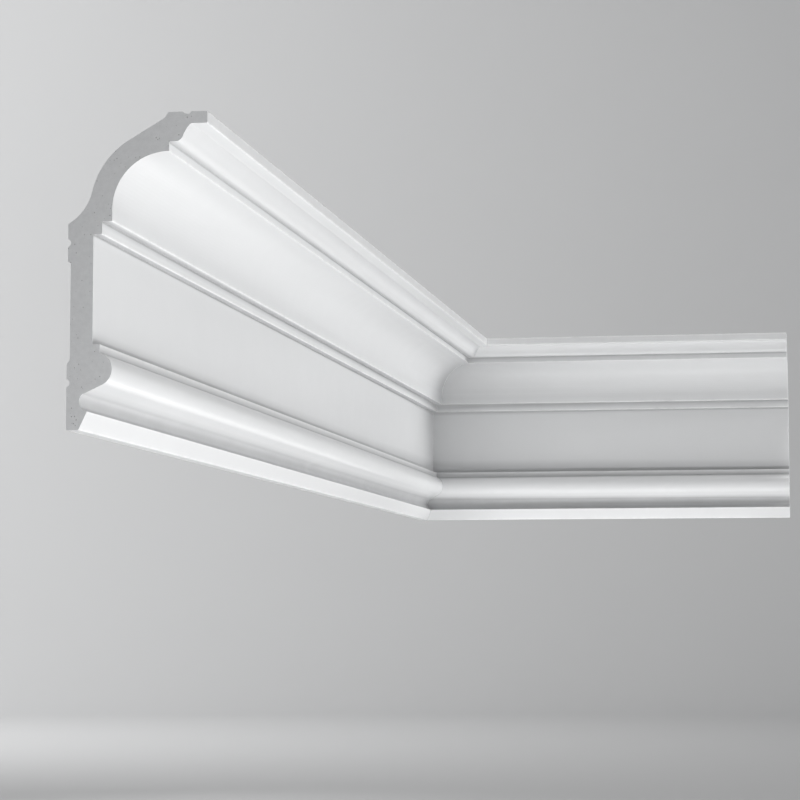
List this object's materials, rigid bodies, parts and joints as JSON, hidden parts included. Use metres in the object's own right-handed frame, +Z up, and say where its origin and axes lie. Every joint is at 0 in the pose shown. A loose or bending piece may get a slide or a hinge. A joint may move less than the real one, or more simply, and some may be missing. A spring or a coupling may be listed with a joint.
{
  "type": "cornice moulding length",
  "caption": "Large moulded cove cornice, a long length mitred to a short return at an inside room corner, glued between wall and ceiling to cover the joint.",
  "frame": {"origin": "on the side wall's face, half way along the long length, in the middle of the clear band of its lower glue pad between the glue groove and the foot", "axes": "+X away from the side wall, +Y along the long length towards the inside corner and the end wall, +Z up to the ceiling"},
  "size_m": [0.481, 1.551, 0.228],
  "materials": {
    "primed_skin": "smooth white factory primer with a low satin sheen over moulded rigid foam"
  },
  "bodies": {
    "root": {"long_length": "primed_skin", "return_length": "primed_skin"}
  },
  "joints": []
}
